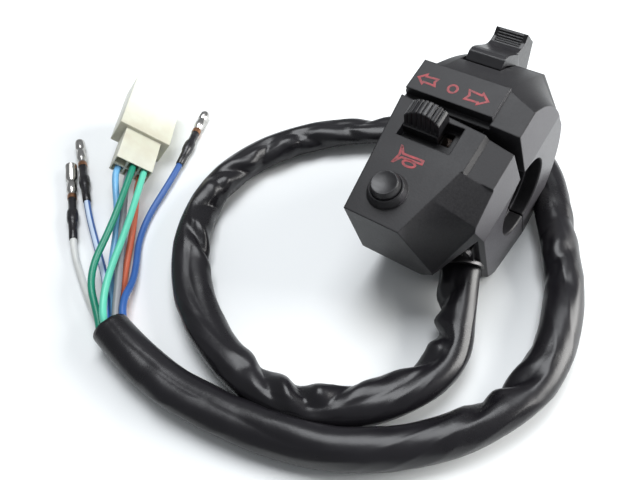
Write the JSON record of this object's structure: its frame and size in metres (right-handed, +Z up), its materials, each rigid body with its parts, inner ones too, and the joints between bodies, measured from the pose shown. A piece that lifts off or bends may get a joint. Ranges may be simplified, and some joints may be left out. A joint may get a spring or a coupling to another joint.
{
  "type": "handlebar switch cluster",
  "caption": "Left handlebar switch that clamps round the bar, with a sliding turn knob, horn push button, beam rocker lever, sleeved harness, connector and bullet terminals.",
  "frame": {"origin": "bottom centre of the case with its controls, on the surface it lies on", "axes": "+X along the bar axis towards the clamp's open mouth, +Y towards the beam lever, +Z up from the table; the control panel leans 18 degrees from flat"},
  "size_m": [0.2066, 0.1568, 0.0561],
  "materials": {
    "case_black": "moulded black plastic, fine matte texture",
    "control_black": "black plastic, slightly smoother than the case",
    "inner_nylon": "natural nylon",
    "board_brown": "phenolic laminate",
    "contact_brass": "bare brass",
    "tinned_brass": "dull plated brass",
    "zinc_steel": "zinc-plated steel",
    "clamp_steel": "black-coated steel strip",
    "grommet_rubber": "black rubber",
    "sleeve_pvc": "soft black vinyl, creased, satin",
    "nylon_white": "milky translucent nylon",
    "insulator_black": "soft black vinyl",
    "wire_white": "vinyl insulation",
    "wire_blue_white": "blue vinyl insulation with a white stripe",
    "wire_light_blue": "vinyl insulation",
    "wire_grey": "vinyl insulation",
    "wire_orange": "vinyl insulation",
    "wire_blue": "vinyl insulation",
    "wire_dark_green": "vinyl insulation",
    "wire_mint": "vinyl insulation"
  },
  "bodies": {
    "case": {"upper_case": "case_black", "lower_case": "case_black", "clamp_screws": "zinc_steel", "turn_contact_board": "board_brown", "turn_contact_rivets": "contact_brass", "turn_board_screws": "zinc_steel", "horn_contact_plate": "contact_brass", "horn_return_spring": "zinc_steel", "beam_pivot_pin": "zinc_steel", "beam_contact_board": "board_brown", "beam_contact_rivets": "contact_brass", "beam_board_screws": "zinc_steel", "cable_grommet": "grommet_rubber", "cable_clamp": "clamp_steel", "cable_clamp_screw": "zinc_steel", "harness_sleeve": "sleeve_pvc", "wire_white": "wire_white", "wire_blue_white": "wire_blue_white", "wire_light_blue": "wire_light_blue", "wire_grey": "wire_grey", "wire_orange": "wire_orange", "wire_blue": "wire_blue", "wire_dark_green": "wire_dark_green", "wire_mint": "wire_mint", "connector_housing": "nylon_white", "connector_terminals": "tinned_brass", "bullet_female_white": "tinned_brass", "bullet_male_blue": "tinned_brass", "bullet_male_blue_white": "tinned_brass", "insulator_white": "insulator_black", "insulator_blue": "insulator_black", "insulator_blue_white": "insulator_black"},
    "turn": {"turn_knob": "control_black", "turn_slider": "inner_nylon", "turn_wiper": "contact_brass", "turn_detent_ball": "zinc_steel", "turn_detent_spring": "zinc_steel"},
    "horn": {"horn_button": "control_black", "horn_contact_ring": "contact_brass"},
    "beam": {"beam_lever": "control_black", "beam_wiper": "contact_brass", "beam_detent_ball": "zinc_steel", "beam_detent_spring": "zinc_steel"}
  },
  "joints": [
    {"name": "turn_slide", "type": "slide", "parent": "case", "child": "turn", "axis": [1, 0, 0], "range_m": [0, 0.0055]},
    {"name": "horn_press", "type": "slide", "parent": "case", "child": "horn", "axis": [0, 0.309, -0.9511], "range_m": [0, 0.002], "stiffness_N_per_m": 500, "springref_m": -0.003, "deforming": ["horn_return_spring"]},
    {"name": "beam_hinge", "type": "hinge", "parent": "case", "child": "beam", "pos_m": [-0.0076, 0.02273, 0.03615], "axis": [1, 0, 0], "range_deg": [-18, 0]}
  ]
}
